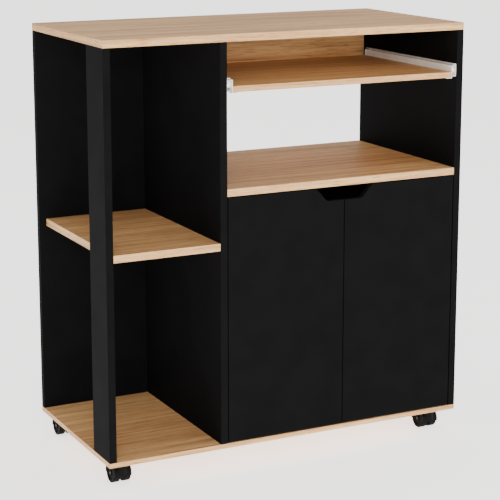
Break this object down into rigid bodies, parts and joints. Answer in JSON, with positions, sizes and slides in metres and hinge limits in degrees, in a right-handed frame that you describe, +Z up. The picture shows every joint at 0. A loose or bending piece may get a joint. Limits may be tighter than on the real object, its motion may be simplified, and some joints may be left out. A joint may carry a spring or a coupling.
{
  "type": "kitchen island cart",
  "caption": "Rolling kitchen island: oak-look top and shelves, black panels, open corner bay, niche with pull-out shelf, and a cupboard with inset doors on twin-wheel casters.",
  "frame": {"origin": "floor point under the middle of the cart's plan", "axes": "+Z up, -Y towards the doors and the user, +X to the user's right"},
  "size_m": [0.8, 0.39, 0.885],
  "materials": {
    "oak_laminate": "satin oak-print laminate on chipboard, grain along the width",
    "black_melamine": "matt black melamine on chipboard",
    "dark_hardboard": "plain hardboard",
    "white_coated_steel": "white epoxy powder coat",
    "nickel_plate": "nickel plated",
    "zinc_plate": "bright zinc plated",
    "black_nylon": "moulded, satin",
    "black_tread": "moulded, matt tread",
    "white_acetal": "moulded, smooth"
  },
  "bodies": {
    "cart": {"worktop": "oak_laminate", "base_board": "oak_laminate", "corner_post": "black_melamine", "left_back_panel": "black_melamine", "divider_panel": "black_melamine", "right_side_panel": "black_melamine", "corner_shelf": "oak_laminate", "middle_shelf": "oak_laminate", "back_rail": "oak_laminate", "cupboard_back": "dark_hardboard", "inner_shelf": "oak_laminate", "shelf_pin_front_left": "nickel_plate", "shelf_pin_front_right": "nickel_plate", "shelf_pin_rear_left": "nickel_plate", "shelf_pin_rear_right": "nickel_plate", "slide_rail_left": "white_coated_steel", "slide_rail_right": "white_coated_steel", "hinge_arm_left_lower": "nickel_plate", "hinge_arm_left_upper": "nickel_plate", "hinge_arm_right_lower": "nickel_plate", "hinge_arm_right_upper": "nickel_plate", "base_screw_post": "zinc_plate", "base_screw_back": "zinc_plate", "base_screw_divider_front": "zinc_plate", "base_screw_divider_rear": "zinc_plate", "base_screw_side_front": "zinc_plate", "base_screw_side_rear": "zinc_plate", "caster_plate_front_left": "black_nylon", "caster_plate_front_right": "black_nylon", "caster_plate_rear_left": "black_nylon", "caster_plate_rear_right": "black_nylon"},
    "pull_out_shelf": {"sliding_shelf": "oak_laminate", "slide_runner_left": "white_coated_steel", "slide_runner_right": "white_coated_steel"},
    "left_door": {"door_left": "black_melamine", "hinge_cup_left_lower": "nickel_plate", "hinge_cup_left_upper": "nickel_plate"},
    "right_door": {"door_right": "black_melamine", "hinge_cup_right_lower": "nickel_plate", "hinge_cup_right_upper": "nickel_plate"},
    "front_roller_left": {"slide_roller_front_left": "white_acetal"},
    "rear_roller_left": {"slide_roller_rear_left": "white_acetal"},
    "front_roller_right": {"slide_roller_front_right": "white_acetal"},
    "rear_roller_right": {"slide_roller_rear_right": "white_acetal"},
    "caster_front_left": {"caster_hood_front_left": "black_nylon", "caster_axle_front_left": "zinc_plate"},
    "wheel_front_left_left": {"caster_wheel_front_left_left": "black_tread"},
    "wheel_front_left_right": {"caster_wheel_front_left_right": "black_tread"},
    "caster_front_right": {"caster_hood_front_right": "black_nylon", "caster_axle_front_right": "zinc_plate"},
    "wheel_front_right_left": {"caster_wheel_front_right_left": "black_tread"},
    "wheel_front_right_right": {"caster_wheel_front_right_right": "black_tread"},
    "caster_rear_left": {"caster_hood_rear_left": "black_nylon", "caster_axle_rear_left": "zinc_plate"},
    "wheel_rear_left_left": {"caster_wheel_rear_left_left": "black_tread"},
    "wheel_rear_left_right": {"caster_wheel_rear_left_right": "black_tread"},
    "caster_rear_right": {"caster_hood_rear_right": "black_nylon", "caster_axle_rear_right": "zinc_plate"},
    "wheel_rear_right_left": {"caster_wheel_rear_right_left": "black_tread"},
    "wheel_rear_right_right": {"caster_wheel_rear_right_right": "black_tread"}
  },
  "joints": [
    {"name": "pull_out", "type": "slide", "parent": "cart", "child": "pull_out_shelf", "axis": [0, -1, 0], "range_m": [0, 0.25]},
    {"name": "left_door_hinge", "type": "hinge", "parent": "cart", "child": "left_door", "pos_m": [-0.142, -0.195, 0.3135], "axis": [0, 0, -1], "range_deg": [0, 100]},
    {"name": "right_door_hinge", "type": "hinge", "parent": "cart", "child": "right_door", "pos_m": [0.383, -0.195, 0.3135], "axis": [0, 0, 1], "range_deg": [0, 100]},
    {"name": "front_roller_left_spin", "type": "hinge", "parent": "cart", "child": "front_roller_left", "pos_m": [-0.13765, -0.181, 0.7872], "axis": [1, 0, 0], "range_deg": [0, 1800]},
    {"name": "rear_roller_left_spin", "type": "hinge", "parent": "pull_out_shelf", "child": "rear_roller_left", "pos_m": [-0.13765, 0.143, 0.785], "axis": [1, 0, 0], "range_deg": [0, 1800]},
    {"name": "front_roller_right_spin", "type": "hinge", "parent": "cart", "child": "front_roller_right", "pos_m": [0.37865, -0.181, 0.7872], "axis": [1, 0, 0], "range_deg": [0, 1800]},
    {"name": "rear_roller_right_spin", "type": "hinge", "parent": "pull_out_shelf", "child": "rear_roller_right", "pos_m": [0.37865, 0.143, 0.785], "axis": [1, 0, 0], "range_deg": [0, 1800]},
    {"name": "swivel_front_left", "type": "hinge", "parent": "cart", "child": "caster_front_left", "pos_m": [-0.36, -0.155, 0.045], "axis": [0, 0, 1], "continuous": true},
    {"name": "roll_front_left_left", "type": "hinge", "parent": "caster_front_left", "child": "wheel_front_left_left", "pos_m": [-0.37125, -0.14, 0.02], "axis": [1, 0, 0], "continuous": true},
    {"name": "roll_front_left_right", "type": "hinge", "parent": "caster_front_left", "child": "wheel_front_left_right", "pos_m": [-0.34875, -0.14, 0.02], "axis": [1, 0, 0], "continuous": true},
    {"name": "swivel_front_right", "type": "hinge", "parent": "cart", "child": "caster_front_right", "pos_m": [0.36, -0.155, 0.045], "axis": [0, 0, 1], "continuous": true},
    {"name": "roll_front_right_left", "type": "hinge", "parent": "caster_front_right", "child": "wheel_front_right_left", "pos_m": [0.34875, -0.14, 0.02], "axis": [1, 0, 0], "continuous": true},
    {"name": "roll_front_right_right", "type": "hinge", "parent": "caster_front_right", "child": "wheel_front_right_right", "pos_m": [0.37125, -0.14, 0.02], "axis": [1, 0, 0], "continuous": true},
    {"name": "swivel_rear_left", "type": "hinge", "parent": "cart", "child": "caster_rear_left", "pos_m": [-0.36, 0.155, 0.045], "axis": [0, 0, 1], "continuous": true},
    {"name": "roll_rear_left_left", "type": "hinge", "parent": "caster_rear_left", "child": "wheel_rear_left_left", "pos_m": [-0.37125, 0.17, 0.02], "axis": [1, 0, 0], "continuous": true},
    {"name": "roll_rear_left_right", "type": "hinge", "parent": "caster_rear_left", "child": "wheel_rear_left_right", "pos_m": [-0.34875, 0.17, 0.02], "axis": [1, 0, 0], "continuous": true},
    {"name": "swivel_rear_right", "type": "hinge", "parent": "cart", "child": "caster_rear_right", "pos_m": [0.36, 0.155, 0.045], "axis": [0, 0, 1], "continuous": true},
    {"name": "roll_rear_right_left", "type": "hinge", "parent": "caster_rear_right", "child": "wheel_rear_right_left", "pos_m": [0.34875, 0.17, 0.02], "axis": [1, 0, 0], "continuous": true},
    {"name": "roll_rear_right_right", "type": "hinge", "parent": "caster_rear_right", "child": "wheel_rear_right_right", "pos_m": [0.37125, 0.17, 0.02], "axis": [1, 0, 0], "continuous": true}
  ],
  "couplings": [
    {"joint": "front_roller_left_spin", "follows": "pull_out", "rad_per_m": 125},
    {"joint": "rear_roller_left_spin", "follows": "pull_out", "rad_per_m": 105.26},
    {"joint": "front_roller_right_spin", "follows": "pull_out", "rad_per_m": 125},
    {"joint": "rear_roller_right_spin", "follows": "pull_out", "rad_per_m": 105.26}
  ]
}
